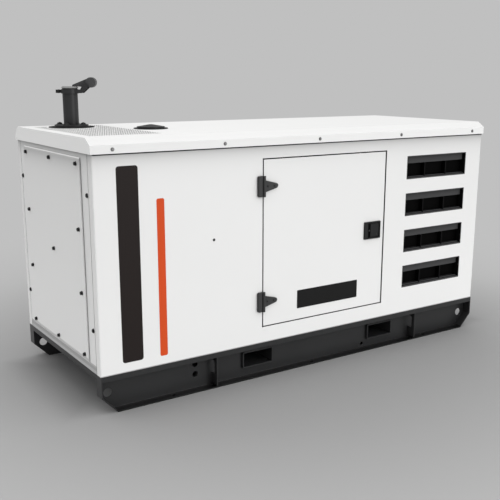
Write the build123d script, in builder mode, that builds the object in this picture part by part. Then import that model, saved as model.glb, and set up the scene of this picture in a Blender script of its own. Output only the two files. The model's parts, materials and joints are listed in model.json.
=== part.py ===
from build123d import *
import math
import os

os.makedirs("parts", exist_ok=True)

# Soundproof diesel generator set: a skid base, a sheet steel canopy, a service door and an exhaust stack.
# X runs along the length, the door side faces -Y, and Z is up from the floor.

# Overall sizes
length = 2250.0
width = 900.0
base_height = 170.0
roof_top = 1153.0
roof_rise = 27.0
eave_drop = 36.0
roof_overhang = 6.0
roof_shoulder = 36.0

# Sheet, plate and lining thicknesses, and shared clearances
sheet = 2.0
plate = 5.0
lining = 25.0
seat_gap = 0.3
overrun = 10.0

# Skid base
skid_recess = 48.0
skid_lip = 25.5
skid_chamfer_x = 72.0
skid_chamfer_z = 73.0
eye_radius = 20.0
eye_from_end = 47.0
eye_z = 78.0
cable_hole_radius = 14.0
cable_hole_from_end = 473.0
cable_hole_low_z = 70.0
cable_hole_pitch = 48.0
drain_radius = 9.0
drain_from_pocket = 111.0
drain_z = 25.0
anchor_radius = 9.0
anchor_from_end = 348.0
pocket_width = 172.0
pocket_bottom = 46.0
pocket_headroom = 44.0
pocket_wall = 6.0
pocket_corner = 8.0
pocket_centre_x = 73.0
pocket_spacing = 776.0
pocket_setback = 35.0
rib_thickness = 6.0
rib_centre_x = 62.0
rib_spacing = 1248.0
rib_front_strip = 20.0
rib_foot = 57.0
rib_head = 40.0
rib_notch_radius = 10.0

# Canopy walls and ends
corner_return = 39.0
corner_joint = 4.0
corner_radius = 6.0
cover_from_side = 109.0
cover_from_base = 36.0
cover_from_eave = 20.0
cover_lap = 40.0
cover_thickness = 5.0
cover_edge = 1.5
cover_bevel = 10.0
seal_thickness = 2.5
seal_inset = 4.0
seal_width = 22.0

# Service door and its opening
door_width = 738.0
door_from_end = 698.0
door_from_base = 81.0
door_from_eave = 63.0
door_gap = 5.5
door_depth = 25.0
door_return_inset = 4.0
door_corner = 4.0

# Door hinges
hinge_from_edge = 119.0
hinge_axis_out = 9.0
hinge_barrel_radius = 7.5
hinge_pin_radius = 3.5
hinge_pin_clearance = 0.08
hinge_height = 94.0
hinge_leaf_height = 52.0
hinge_leaf_gap = 0.5
hinge_leaf_length = 77.5
hinge_leaf_thickness = 8.5
hinge_tip_radius = 11.5
hinge_block_width = 22.0
hinge_block_offset = 9.75
hinge_block_proud = 13.5
hinge_block_corner = 8.0
hinge_block_edge = 3.0
hinge_leaf_edge = 1.5
hinge_web_lap = 3.0

# Door latch
latch_width = 105.0
latch_height = 87.0
latch_from_edge = 78.5
latch_proud = 8.0
latch_floor = 2.0
latch_rim = 6.0
latch_corner = 2.0
latch_key_plate = 21.0
latch_edge = 1.0
paddle_slot = 18.0
paddle_clearance = 5.0
paddle_thickness = 4.0
paddle_back_gap = 0.5
paddle_corner = 5.0
paddle_pin_radius = 1.5
paddle_pin_clearance = 0.08
paddle_boss_radius = 2.75
key_radius = 5.0
key_from_left = 29.0
key_rise = 0.5

# Air louvres
louvre_count = 4
louvre_width = 434.5
louvre_height = 118.5
louvre_depth = 42.0
louvre_wall = 4.0
louvre_from_end = 333.1
louvre_from_base = 194.4
louvre_from_eave = 152.7
louvre_hood_height = 36.0
louvre_hood_setback = 21.0
louvre_sill_rise = 9.0
louvre_sill_run = 26.0
louvre_rib_thickness = 5.0
louvre_rib_spacing = 154.6
louvre_rib_setback = 12.0

# Roof outlet grille and filler cap
grille_from_end = 35.0
grille_length = 345.0
grille_from_shoulder = 69.0
cap_from_end = 465.0
cap_to_front = 40.0
cap_radius = 78.0
cap_flange = 4.0
cap_shoulder_radius = 64.0
cap_shoulder_height = 10.0
cap_height = 19.5
cap_top_radius = 9.0
cap_neck_radius = 52.0
cap_neck_depth = 20.0
cap_hole_clearance = 3.0

# Exhaust stack
stack_from_end = 197.5
stack_from_grille_side = 95.0
pipe_radius = 35.0
pipe_wall = 3.0
pipe_height = 178.5
pipe_below_roof = 40.0
gasket_radius = 105.0
gasket_thickness = 3.0
flange_radius = 78.0
flange_thickness = 9.0
stack_hole_clearance = 12.0

# Rain cap on the stack, measured from the pipe's axis and rim
rain_turn = -34.0
band_wall = 4.0
band_height = 20.0
band_drop = 4.0
band_gap = 0.3
lug_length = 27.0
lug_height = 15.0
lug_thickness = 4.0
lug_gap = 6.0
lid_radius = 40.0
lid_height = 8.0
lid_crown_radius = 34.0
lid_gap = 0.5
arm_thickness = 10.0
arm_foot_radius = 4.0
arm_foot_out = 17.0
arm_foot_up = 13.0
arm_end_radius = 22.5
weight_radius = 23.3
weight_out = 101.0
weight_up = 26.5
weight_length = 38.0
rain_pin_out = 78.0
rain_pin_up = 11.0
rain_pin_radius = 4.0
rain_pin_clearance = 0.08
rain_boss_radius = 9.0
cheek_thickness = 4.0
cheek_gap = 5.0
cheek_boss_radius = 13.0
cheek_bar_height = 16.0
cheek_elbow_out = 58.0
cheek_start_out = 27.0

# Places that several pieces share
half_length = length / 2
half_width = width / 2
eave_top = roof_top - roof_rise
eave_bottom = eave_top - eave_drop
skid_depth = skid_recess + plate
web_back_y = half_width - skid_depth
eye_x = half_length - eye_from_end
anchor_spacing = half_length - anchor_from_end
pocket_height = base_height - pocket_bottom - pocket_headroom
pocket_centre_z = pocket_bottom + pocket_height / 2
roof_flat_width = width - roof_shoulder * 2
roof_run = roof_shoulder + roof_overhang
roof_slope = math.atan2(roof_top - eave_top, roof_run)
eave_underside = eave_top + roof_overhang * math.tan(roof_slope) - sheet / math.cos(roof_slope)
wall_top = eave_underside - seat_gap
wall_height = wall_top - base_height
door_right = half_length - door_from_end
door_left = door_right - door_width
door_centre_x = (door_left + door_right) / 2
door_bottom = base_height + door_from_base
door_top = eave_bottom - door_from_eave
door_height = door_top - door_bottom
door_centre_z = (door_bottom + door_top) / 2
opening_left = door_left - door_gap
opening_right = door_right + door_gap
opening_bottom = door_bottom - door_gap
opening_top = door_top + door_gap
hinge_axis_x = door_left - door_gap / 2
lining_face = half_width - sheet
louvre_centre_x = half_length - louvre_from_end
grille_left_x = -half_length + grille_from_end
grille_right_x = grille_left_x + grille_length
grille_centre_x = (grille_left_x + grille_right_x) / 2
grille_width = roof_flat_width - grille_from_shoulder * 2
cap_x = -half_length + cap_from_end
cap_y = -cap_to_front
stack_x = -half_length + stack_from_end
stack_y = grille_width / 2 - stack_from_grille_side
rim_z = roof_top + pipe_height


def save(piece, name):
    piece.label = name
    export_step(piece, f"parts/{name}.step")


def mirrored(piece):
    with BuildPart() as other_side:
        mirror(piece, about=Plane.XZ)
    return other_side.part


def save_pair(piece, name):
    save(piece, f"front_{name}")
    save(mirrored(piece), f"rear_{name}")


def front_plane(depth):
    # A sketch plane facing the door side, this far in from the canopy's outer face
    return Plane.XZ.offset(half_width - depth)


# Skid base


def skid_beam():
    cable_hole_x = -half_length + cable_hole_from_end
    drain_x = pocket_centre_x + pocket_spacing / 2 - drain_from_pocket
    with BuildPart() as beam:
        with BuildSketch(front_plane(skid_depth)) as outline:
            with BuildLine():
                Polyline(
                    (-half_length, base_height),
                    (-half_length, skid_chamfer_z),
                    (-half_length + skid_chamfer_x, 0),
                    (half_length - skid_chamfer_x, 0),
                    (half_length, skid_chamfer_z),
                    (half_length, base_height),
                    close=True,
                )
            make_face()
        extrude(amount=skid_depth)
        with BuildSketch(front_plane(skid_recess)):
            add(outline.sketch_local)
            offset(amount=-plate, kind=Kind.INTERSECTION, mode=Mode.REPLACE)
        extrude(amount=skid_recess + overrun, mode=Mode.SUBTRACT)
        with BuildSketch(front_plane(plate)):
            with Locations((0, base_height - skid_lip / 2)):
                Rectangle(length, skid_lip)
        extrude(amount=plate)
        with BuildSketch(front_plane(skid_depth + overrun)):
            with Locations((-eye_x, eye_z), (eye_x, eye_z)):
                Circle(eye_radius)
            with Locations((cable_hole_x, cable_hole_low_z)):
                Circle(cable_hole_radius)
            with Locations((cable_hole_x, cable_hole_low_z + cable_hole_pitch)):
                Circle(cable_hole_radius)
            with Locations((drain_x, drain_z)):
                Circle(drain_radius)
            with Locations((pocket_centre_x, pocket_centre_z)):
                with GridLocations(pocket_spacing, 0, 2, 1):
                    RectangleRounded(pocket_width, pocket_height, pocket_corner)
        extrude(amount=plate + overrun * 2, mode=Mode.SUBTRACT)
        with BuildSketch(Plane.XY):
            with Locations((0, -half_width + skid_recess / 2)):
                with GridLocations(anchor_spacing, 0, 3, 1):
                    Circle(anchor_radius)
        extrude(amount=plate, both=True, mode=Mode.SUBTRACT)
    return beam.part


save_pair(skid_beam(), "skid_beam")


def skid_ribs():
    # Upright stiffeners between the flanges, each with a notch at the web for the cables
    web_face = -half_width + skid_recess
    notch_front = -half_width + rib_front_strip
    notch_low = plate + rib_foot
    notch_high = base_height - plate - rib_head
    with BuildPart() as ribs:
        for rib_x in (rib_centre_x - rib_spacing / 2, rib_centre_x + rib_spacing / 2):
            with BuildSketch(Plane.YZ.offset(rib_x - rib_thickness / 2)):
                with BuildLine():
                    Polyline(
                        (web_face, plate),
                        (-half_width, plate),
                        (-half_width, base_height - skid_lip),
                        (-half_width + plate, base_height - skid_lip),
                        (-half_width + plate, base_height - plate),
                        (web_face, base_height - plate),
                        close=True,
                    )
                make_face()
                with BuildLine():
                    FilletPolyline(
                        (web_face + overrun, notch_low),
                        (notch_front, notch_low),
                        (notch_front, notch_high),
                        (web_face + overrun, notch_high),
                        radius=rib_notch_radius,
                    )
                    Line((web_face + overrun, notch_high), (web_face + overrun, notch_low))
                make_face(mode=Mode.SUBTRACT)
            extrude(amount=rib_thickness)
    return ribs.part


save_pair(skid_ribs(), "skid_ribs")

with BuildPart() as base_deck:
    with BuildSketch(Plane.XY.offset(base_height - plate)):
        Rectangle(length, web_back_y * 2)
    extrude(amount=plate)
    with BuildSketch(Plane.XY.offset(base_height - skid_lip)):
        with GridLocations(length - plate, 0, 2, 1):
            Rectangle(plate, web_back_y * 2)
    extrude(amount=skid_lip)
save(base_deck.part, "base_deck")

for pocket_name, pocket_side in (("left", -1), ("right", 1)):
    pocket_x = pocket_centre_x + pocket_side * pocket_spacing / 2
    with BuildPart() as fork_pocket:
        with BuildSketch(front_plane(half_width)):
            with Locations((pocket_x, pocket_centre_z)):
                RectangleRounded(pocket_width, pocket_height, pocket_corner)
                RectangleRounded(
                    pocket_width - pocket_wall * 2,
                    pocket_height - pocket_wall * 2,
                    pocket_corner - pocket_wall,
                    mode=Mode.SUBTRACT,
                )
        extrude(amount=half_width - pocket_setback, both=True)
    save(fork_pocket.part, f"fork_pocket_{pocket_name}")


# Canopy walls


def corner_panel(end, inner_x):
    # A side sheet from the doorway to one end, folded round the corner; end is -1 or 1
    tip_x = end * half_length
    with BuildPart() as panel:
        with BuildSketch(Plane.XY.offset(base_height)):
            with BuildLine():
                FilletPolyline(
                    (inner_x, -half_width),
                    (tip_x, -half_width),
                    (tip_x, -half_width + corner_return),
                    radius=corner_radius,
                )
                FilletPolyline(
                    (inner_x, -half_width + sheet),
                    (tip_x - end * sheet, -half_width + sheet),
                    (tip_x - end * sheet, -half_width + corner_return),
                    radius=corner_radius - sheet,
                )
                Line((inner_x, -half_width), (inner_x, -half_width + sheet))
                Line((tip_x, -half_width + corner_return), (tip_x - end * sheet, -half_width + corner_return))
            make_face()
        extrude(amount=wall_height)
    return panel.part


def louvre_heights():
    lowest = base_height + louvre_from_base
    highest = eave_bottom - louvre_from_eave
    pitch = (highest - lowest) / (louvre_count - 1)
    return [lowest + pitch * row for row in range(louvre_count)]


save_pair(corner_panel(-1, opening_left), "left_panel")

with BuildPart() as right_panel:
    add(corner_panel(1, opening_right))
    with BuildSketch(front_plane(sheet + overrun)):
        with Locations(*[(louvre_centre_x, louvre_z) for louvre_z in louvre_heights()]):
            Rectangle(louvre_width, louvre_height)
    extrude(amount=sheet + overrun * 2, mode=Mode.SUBTRACT)
save_pair(right_panel.part, "right_panel")


def door_band(low_z, high_z):
    with BuildPart() as band:
        with BuildSketch(front_plane(sheet)):
            with Locations((door_centre_x, (low_z + high_z) / 2)):
                Rectangle(opening_right - opening_left, high_z - low_z)
        extrude(amount=sheet)
    return band.part


save_pair(door_band(opening_top, wall_top), "door_header")
save_pair(door_band(base_height, opening_bottom), "door_sill")

cover_width = width - cover_from_side * 2
cover_bottom = base_height + cover_from_base
cover_top = eave_bottom - cover_from_eave
cover_height = cover_top - cover_bottom
cover_z = (cover_bottom + cover_top) / 2
seal_outer_width = cover_width - seal_inset * 2
seal_outer_height = cover_height - seal_inset * 2

for end_name, end in (("left", -1), ("right", 1)):
    outward = Plane.YZ if end > 0 else Plane.YZ.rotated((0, 0, 180))
    with BuildPart() as end_frame:
        with BuildSketch(outward.offset(half_length - sheet)):
            with Locations((0, base_height + wall_height / 2)):
                Rectangle(width - (corner_return + corner_joint) * 2, wall_height)
            with Locations((0, cover_z)):
                Rectangle(cover_width - cover_lap * 2, cover_height - cover_lap * 2, mode=Mode.SUBTRACT)
        extrude(amount=sheet)
    save(end_frame.part, f"{end_name}_end_frame")

    with BuildPart() as end_seal:
        with BuildSketch(outward.offset(half_length)):
            with Locations((0, cover_z)):
                Rectangle(seal_outer_width, seal_outer_height)
                Rectangle(
                    seal_outer_width - seal_width * 2,
                    seal_outer_height - seal_width * 2,
                    mode=Mode.SUBTRACT,
                )
        extrude(amount=seal_thickness)
    save(end_seal.part, f"{end_name}_end_seal")

    # The cover's upper and lower edges are pressed back to a thin lip
    cover_back = end * (half_length + seal_thickness)
    with BuildPart() as end_cover:
        with BuildSketch(Plane.XZ.offset(-cover_width / 2)):
            with BuildLine():
                Polyline(
                    (cover_back, cover_bottom),
                    (cover_back + end * cover_edge, cover_bottom),
                    (cover_back + end * cover_thickness, cover_bottom + cover_bevel),
                    (cover_back + end * cover_thickness, cover_top - cover_bevel),
                    (cover_back + end * cover_edge, cover_top),
                    (cover_back, cover_top),
                    close=True,
                )
            make_face()
        extrude(amount=cover_width)
    save(end_cover.part, f"{end_name}_end_cover")

    with BuildPart() as end_lining:
        with BuildSketch(outward.offset(half_length - sheet - lining)):
            with Locations((0, base_height + wall_height / 2)):
                Rectangle(lining_face * 2 - corner_radius * 2, wall_height)
        extrude(amount=lining)
    save(end_lining.part, f"{end_name}_end_lining")

with BuildPart() as left_lining:
    lining_left = -half_length + sheet + lining
    lining_right = opening_left - door_gap
    with BuildSketch(front_plane(sheet + lining)):
        with Locations(((lining_left + lining_right) / 2, base_height + wall_height / 2)):
            Rectangle(lining_right - lining_left, wall_height)
    extrude(amount=lining)
save_pair(left_lining.part, "left_lining")


# Roof


def roof_profile():
    with BuildLine() as profile:
        Polyline(
            (-half_width - roof_overhang, eave_bottom),
            (-half_width - roof_overhang, eave_top),
            (-roof_flat_width / 2, roof_top),
            (roof_flat_width / 2, roof_top),
            (half_width + roof_overhang, eave_top),
            (half_width + roof_overhang, eave_bottom),
            close=True,
        )
    return profile.line


roof_length = length + roof_overhang * 2
with BuildPart() as roof:
    with BuildSketch(Plane.YZ.offset(-roof_length / 2)):
        with BuildLine():
            add(roof_profile())
        make_face()
    extrude(amount=roof_length)
    with BuildSketch(Plane.YZ.offset(-roof_length / 2 + sheet)):
        with BuildLine():
            add(roof_profile())
        make_face()
        offset(amount=-sheet, kind=Kind.INTERSECTION, mode=Mode.REPLACE)
        with Locations((0, eave_bottom)):
            Rectangle(width + (roof_overhang - sheet) * 2, overrun)
    extrude(amount=roof_length - sheet * 2, mode=Mode.SUBTRACT)
    with BuildSketch(Plane.XY.offset(roof_top - sheet - overrun)):
        with Locations((grille_centre_x, 0)):
            Rectangle(grille_length, grille_width)
        with Locations((cap_x, cap_y)):
            Circle(cap_neck_radius + cap_hole_clearance)
    extrude(amount=sheet + overrun * 2, mode=Mode.SUBTRACT)
save(roof.part, "roof")

with BuildPart() as roof_grille:
    with BuildSketch(Plane.XY.offset(roof_top - sheet)):
        with Locations((grille_centre_x, 0)):
            Rectangle(grille_length, grille_width)
        with Locations((stack_x, stack_y)):
            Circle(pipe_radius + stack_hole_clearance, mode=Mode.SUBTRACT)
    extrude(amount=sheet)
save(roof_grille.part, "roof_grille")

with BuildPart() as roof_lining:
    lining_start = grille_right_x + lining
    lining_end = half_length - sheet - lining
    with BuildSketch(Plane.XY.offset(roof_top - sheet - lining)):
        with Locations(((lining_start + lining_end) / 2, 0)):
            Rectangle(lining_end - lining_start, roof_flat_width - lining * 2)
        with Locations((cap_x, cap_y)):
            Circle(cap_neck_radius + cap_hole_clearance, mode=Mode.SUBTRACT)
    extrude(amount=lining)
save(roof_lining.part, "roof_lining")

with BuildPart() as filler_cap:
    with BuildSketch(Plane.XZ):
        with BuildLine():
            Polyline(
                (0, roof_top - cap_neck_depth),
                (cap_neck_radius, roof_top - cap_neck_depth),
                (cap_neck_radius, roof_top),
                (cap_radius, roof_top),
                (cap_radius, roof_top + cap_flange),
                (cap_shoulder_radius, roof_top + cap_flange),
                (cap_shoulder_radius, roof_top + cap_shoulder_height),
                (cap_top_radius, roof_top + cap_height),
                (0, roof_top + cap_height),
                close=True,
            )
        make_face()
    revolve(axis=Axis.Z)
with BuildPart() as placed_cap:
    with Locations((cap_x, cap_y, 0)):
        add(filler_cap.part)
save(placed_cap.part, "filler_cap")


# Doors, hinges and latches


def door_pan():
    return_width = door_width - door_return_inset * 2
    return_height = door_height - door_return_inset * 2
    with BuildPart() as pan:
        with BuildSketch(front_plane(sheet)):
            with Locations((door_centre_x, door_centre_z)):
                RectangleRounded(door_width, door_height, door_corner)
        extrude(amount=sheet)
        with BuildSketch(front_plane(door_depth)):
            with Locations((door_centre_x, door_centre_z)):
                Rectangle(return_width, return_height)
                Rectangle(return_width - sheet * 2, return_height - sheet * 2, mode=Mode.SUBTRACT)
        extrude(amount=door_depth - sheet)
    return pan.part


def door_lining():
    inset = (door_return_inset + sheet) * 2
    with BuildPart() as pad:
        with BuildSketch(front_plane(door_depth)):
            with Locations((door_centre_x, door_centre_z)):
                Rectangle(door_width - inset, door_height - inset)
        extrude(amount=door_depth - sheet)
    return pad.part


save_pair(door_pan(), "door")
save_pair(door_lining(), "door_lining")

hinge_axis_y = -half_width - hinge_axis_out
hinge_heights = [door_bottom + hinge_from_edge, door_top - hinge_from_edge]


def hinge_block(block_right, hinge_z):
    # The frame side's moulded body: rounded at the far corners and along its front edge
    with BuildPart() as body:
        with BuildSketch(front_plane(0)):
            with Locations((block_right - hinge_block_width / 2, hinge_z)):
                Rectangle(hinge_block_width, hinge_height)
        extrude(amount=hinge_block_proud)
        far_corners = body.edges().filter_by(Axis.Y).group_by(Axis.X)[0]
        fillet(far_corners, hinge_block_corner)
        front_rim = body.faces().sort_by(Axis.Y)[0].edges()
        fillet(front_rim, hinge_block_edge)
    return body.part


def hinge_brackets():
    block_right = hinge_axis_x - hinge_block_offset
    knuckle_height = (hinge_height - hinge_leaf_height) / 2 - hinge_leaf_gap
    with BuildPart() as brackets:
        for hinge_z in hinge_heights:
            foot_z = hinge_z - hinge_height / 2
            add(hinge_block(block_right, hinge_z))
            for knuckle_z in (foot_z, foot_z + hinge_height - knuckle_height):
                with BuildSketch(Plane.XY.offset(knuckle_z)):
                    with Locations((hinge_axis_x, hinge_axis_y)):
                        Circle(hinge_barrel_radius)
                    web_middle_x = (block_right - hinge_web_lap + hinge_axis_x) / 2
                    with Locations((web_middle_x, -half_width - hinge_axis_out / 2)):
                        Rectangle(hinge_block_offset + hinge_web_lap, hinge_axis_out)
                extrude(amount=knuckle_height)
            with BuildSketch(Plane.XY.offset(foot_z)):
                with Locations((hinge_axis_x, hinge_axis_y)):
                    Circle(hinge_pin_radius)
            extrude(amount=hinge_height)
    return brackets.part


def hinge_tongue(hinge_z):
    # The door side's tapered tongue, from the barrel to a round tip
    tip_x = hinge_axis_x + hinge_leaf_length - hinge_tip_radius
    root_x = hinge_axis_x + hinge_barrel_radius
    with BuildPart() as tongue:
        with BuildSketch(front_plane(0)):
            with Locations((tip_x, hinge_z)):
                Circle(hinge_tip_radius)
            with Locations((root_x, hinge_z)):
                Rectangle(hinge_barrel_radius, hinge_leaf_height)
            make_hull()
        extrude(amount=hinge_leaf_thickness)
        front_rim = tongue.faces().sort_by(Axis.Y)[0].edges()
        fillet(front_rim, hinge_leaf_edge)
    return tongue.part


def hinge_leaves():
    leaf_mid_y = -half_width - hinge_leaf_thickness / 2
    with BuildPart() as leaves:
        for hinge_z in hinge_heights:
            add(hinge_tongue(hinge_z))
            with BuildSketch(Plane.XY.offset(hinge_z - hinge_leaf_height / 2)):
                with Locations((hinge_axis_x, hinge_axis_y)):
                    Circle(hinge_barrel_radius)
                with Locations((hinge_axis_x + hinge_barrel_radius / 2, leaf_mid_y)):
                    Rectangle(hinge_barrel_radius, hinge_leaf_thickness)
            extrude(amount=hinge_leaf_height)
            with BuildSketch(Plane.XY.offset(hinge_z - hinge_height / 2)):
                with Locations((hinge_axis_x, hinge_axis_y)):
                    Circle(hinge_pin_radius + hinge_pin_clearance)
            extrude(amount=hinge_height, mode=Mode.SUBTRACT)
    return leaves.part


save_pair(hinge_brackets(), "hinge_brackets")
save_pair(hinge_leaves(), "hinge_leaves")

latch_centre_x = door_right - latch_from_edge
latch_centre_z = door_centre_z
latch_left = latch_centre_x - latch_width / 2
latch_right = latch_centre_x + latch_width / 2
latch_pocket_left = latch_left + latch_key_plate
latch_pocket_right = latch_right - latch_rim
paddle_pivot_x = latch_right - latch_rim - paddle_clearance - paddle_boss_radius
paddle_pivot_y = -half_width - latch_floor - paddle_back_gap - paddle_boss_radius
pocket_inner_height = latch_height - latch_rim * 2


def latch_housing():
    with BuildPart() as housing:
        with BuildSketch(front_plane(0)):
            with Locations((latch_centre_x, latch_centre_z)):
                RectangleRounded(latch_width, latch_height, latch_corner)
        extrude(amount=latch_proud)
        front_rim = housing.faces().sort_by(Axis.Y)[0].edges()
        chamfer(front_rim, latch_edge)
        with BuildSketch(front_plane(-latch_floor)):
            with Locations(((latch_pocket_left + latch_pocket_right) / 2, latch_centre_z)):
                Rectangle(latch_pocket_right - latch_pocket_left, pocket_inner_height)
        extrude(amount=latch_proud, mode=Mode.SUBTRACT)
        with BuildSketch(front_plane(-latch_floor)):
            with Locations((latch_left + key_from_left, latch_centre_z)):
                Circle(key_radius)
        extrude(amount=latch_proud - latch_floor + key_rise)
        with BuildSketch(Plane.XY.offset(latch_centre_z - latch_height / 2 + latch_rim / 2)):
            with Locations((paddle_pivot_x, paddle_pivot_y)):
                Circle(paddle_pin_radius)
        extrude(amount=latch_height - latch_rim)
    return housing.part


def latch_paddle():
    paddle_height = pocket_inner_height - paddle_clearance * 2
    paddle_back = -latch_floor - paddle_back_gap
    paddle_left = latch_pocket_left + paddle_slot
    paddle_width = paddle_pivot_x - paddle_left
    with BuildPart() as paddle:
        with BuildSketch(front_plane(paddle_back)):
            with Locations((paddle_pivot_x - paddle_width / 2, latch_centre_z)):
                RectangleRounded(paddle_width, paddle_height, paddle_corner)
        extrude(amount=paddle_thickness)
        with BuildSketch(Plane.XY.offset(latch_centre_z - paddle_height / 2 + paddle_corner)):
            with Locations((paddle_pivot_x, paddle_pivot_y)):
                Circle(paddle_boss_radius)
        extrude(amount=paddle_height - paddle_corner * 2)
        with BuildSketch(Plane.XY.offset(latch_centre_z - paddle_height / 2)):
            with Locations((paddle_pivot_x, paddle_pivot_y)):
                Circle(paddle_pin_radius + paddle_pin_clearance)
        extrude(amount=paddle_height, mode=Mode.SUBTRACT)
    return paddle.part


save_pair(latch_housing(), "latch_housing")
save_pair(latch_paddle(), "latch_paddle")


# Air louvres: moulded inserts with a hood strip, a sloping sill and upright ribs


def louvre(centre_z):
    inner_width = louvre_width - louvre_wall * 2
    inner_height = louvre_height - louvre_wall * 2
    top_z = centre_z + inner_height / 2
    low_z = centre_z - inner_height / 2
    front_y = -half_width
    back_y = -half_width + louvre_depth
    with BuildPart() as insert:
        with BuildSketch(front_plane(louvre_depth)):
            with Locations((louvre_centre_x, centre_z)):
                Rectangle(louvre_width, louvre_height)
        extrude(amount=louvre_depth)
        with BuildSketch(front_plane(louvre_depth - louvre_wall)):
            with Locations((louvre_centre_x, centre_z)):
                Rectangle(inner_width, inner_height)
        extrude(amount=louvre_depth, mode=Mode.SUBTRACT)
        # The air path: an open slot in the back wall, behind the hood strip
        with BuildSketch(front_plane(louvre_depth + overrun)):
            with Locations((louvre_centre_x, top_z - louvre_hood_height / 2)):
                Rectangle(inner_width, louvre_hood_height)
        extrude(amount=louvre_wall + overrun, mode=Mode.SUBTRACT)
        with BuildSketch(front_plane(louvre_hood_setback + louvre_wall)):
            with Locations((louvre_centre_x, top_z - louvre_hood_height / 2)):
                Rectangle(inner_width, louvre_hood_height)
        extrude(amount=louvre_wall)
        with BuildSketch(Plane.YZ.offset(louvre_centre_x - inner_width / 2)):
            with BuildLine():
                Polyline(
                    (front_y, low_z),
                    (front_y + louvre_sill_run, low_z + louvre_sill_rise),
                    (front_y + louvre_sill_run, low_z),
                    close=True,
                )
            make_face()
        extrude(amount=inner_width)
        for rib_side in (-1, 1):
            rib_x = louvre_centre_x + rib_side * louvre_rib_spacing / 2
            with BuildSketch(Plane.YZ.offset(rib_x - louvre_rib_thickness / 2)):
                with BuildLine():
                    Polyline(
                        (front_y + louvre_rib_setback, low_z),
                        (front_y + louvre_rib_setback, top_z - louvre_hood_height),
                        (front_y + louvre_hood_setback, top_z - louvre_hood_height),
                        (front_y + louvre_hood_setback, top_z),
                        (back_y - louvre_wall, top_z),
                        (back_y - louvre_wall, low_z),
                        close=True,
                    )
                make_face()
            extrude(amount=louvre_rib_thickness)
    return insert.part


for row, louvre_z in enumerate(louvre_heights()):
    save_pair(louvre(louvre_z), f"louvre_{row + 1}")


# Exhaust stack and rain cap

with BuildPart() as exhaust_gasket:
    with BuildSketch(Plane.XY.offset(roof_top)):
        with Locations((stack_x, stack_y)):
            Circle(gasket_radius)
            Circle(pipe_radius + stack_hole_clearance, mode=Mode.SUBTRACT)
    extrude(amount=gasket_thickness)
save(exhaust_gasket.part, "exhaust_gasket")

with BuildPart() as exhaust_stack:
    with BuildSketch(Plane.XY.offset(roof_top - pipe_below_roof)):
        with Locations((stack_x, stack_y)):
            Circle(pipe_radius)
    extrude(amount=pipe_below_roof + pipe_height)
    with BuildSketch(Plane.XY.offset(roof_top + gasket_thickness)):
        with Locations((stack_x, stack_y)):
            Circle(flange_radius)
    extrude(amount=flange_thickness)
    with BuildSketch(Plane.XY.offset(roof_top - pipe_below_roof - overrun)):
        with Locations((stack_x, stack_y)):
            Circle(pipe_radius - pipe_wall)
    extrude(amount=pipe_below_roof + pipe_height + overrun * 2, mode=Mode.SUBTRACT)
save(exhaust_stack.part, "exhaust_stack")

turn = math.radians(rain_turn)
rim_point = (stack_x, stack_y, rim_z)
rim_plane = Plane(origin=rim_point, x_dir=(math.cos(turn), math.sin(turn), 0), z_dir=(0, 0, 1))
lever_plane = Plane(
    origin=rim_point,
    x_dir=(math.cos(turn), math.sin(turn), 0),
    z_dir=(math.sin(turn), -math.cos(turn), 0),
)
cheek_inner = weight_length / 2 + cheek_gap
band_inner = pipe_radius + band_gap
band_outer = band_inner + band_wall
bar_mid_up = -band_drop - band_height / 2

with BuildPart() as rain_cap_clamp:
    with BuildSketch(rim_plane.offset(-band_drop - band_height)):
        Circle(band_outer)
    extrude(amount=band_height)
    for side in (-1, 1):
        with BuildSketch(lever_plane.offset(side * (lug_gap + lug_thickness) / 2 - lug_thickness / 2)):
            with Locations((-band_inner - lug_length / 2, bar_mid_up)):
                Rectangle(lug_length + band_wall, lug_height)
        extrude(amount=lug_thickness)
        cheek_middle = side * (cheek_inner + cheek_thickness / 2)
        with BuildSketch(lever_plane.offset(cheek_middle - cheek_thickness / 2)):
            with Locations((rain_pin_out, rain_pin_up)):
                Circle(cheek_boss_radius)
            with Locations((cheek_elbow_out, bar_mid_up)):
                Circle(cheek_bar_height / 2)
            make_hull()
            with Locations(((cheek_start_out + cheek_elbow_out) / 2, bar_mid_up)):
                Rectangle(cheek_elbow_out - cheek_start_out, cheek_bar_height)
        extrude(amount=cheek_thickness)
    with BuildSketch(lever_plane):
        with Locations((rain_pin_out, rain_pin_up)):
            Circle(rain_pin_radius)
    extrude(amount=cheek_inner + cheek_thickness, both=True)
    with BuildSketch(rim_plane.offset(-band_drop - band_height - overrun)):
        Circle(band_inner)
        with Locations((-band_inner - lug_length / 2, 0)):
            Rectangle(lug_length + band_wall + overrun, lug_gap)
    extrude(amount=band_height + overrun * 2, mode=Mode.SUBTRACT)
save(rain_cap_clamp.part, "rain_cap_clamp")

with BuildPart() as rain_cap_lid:
    with BuildSketch(lever_plane):
        with BuildLine():
            Polyline(
                (0, lid_gap),
                (lid_radius, lid_gap),
                (lid_crown_radius, lid_gap + lid_height),
                (0, lid_gap + lid_height),
                close=True,
            )
        make_face()
    revolve(axis=Axis(rim_point, (0, 0, 1)))
    with BuildSketch(lever_plane.offset(-arm_thickness / 2)):
        with Locations((arm_foot_out, arm_foot_up)):
            Circle(arm_foot_radius)
        with Locations((weight_out, weight_up)):
            Circle(arm_end_radius)
        make_hull()
        with Locations((rain_pin_out, rain_pin_up)):
            Circle(rain_boss_radius)
        with Locations((arm_foot_out, (lid_gap + arm_foot_up) / 2)):
            Rectangle(arm_foot_radius * 2, arm_foot_up - lid_gap)
    extrude(amount=arm_thickness)
    with BuildSketch(lever_plane):
        with Locations((weight_out, weight_up)):
            Circle(weight_radius)
    extrude(amount=weight_length / 2, both=True)
    with BuildSketch(lever_plane):
        with Locations((rain_pin_out, rain_pin_up)):
            Circle(rain_pin_radius + rain_pin_clearance)
    extrude(amount=cheek_inner, both=True, mode=Mode.SUBTRACT)
save(rain_cap_lid.part, "rain_cap_lid")
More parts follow.
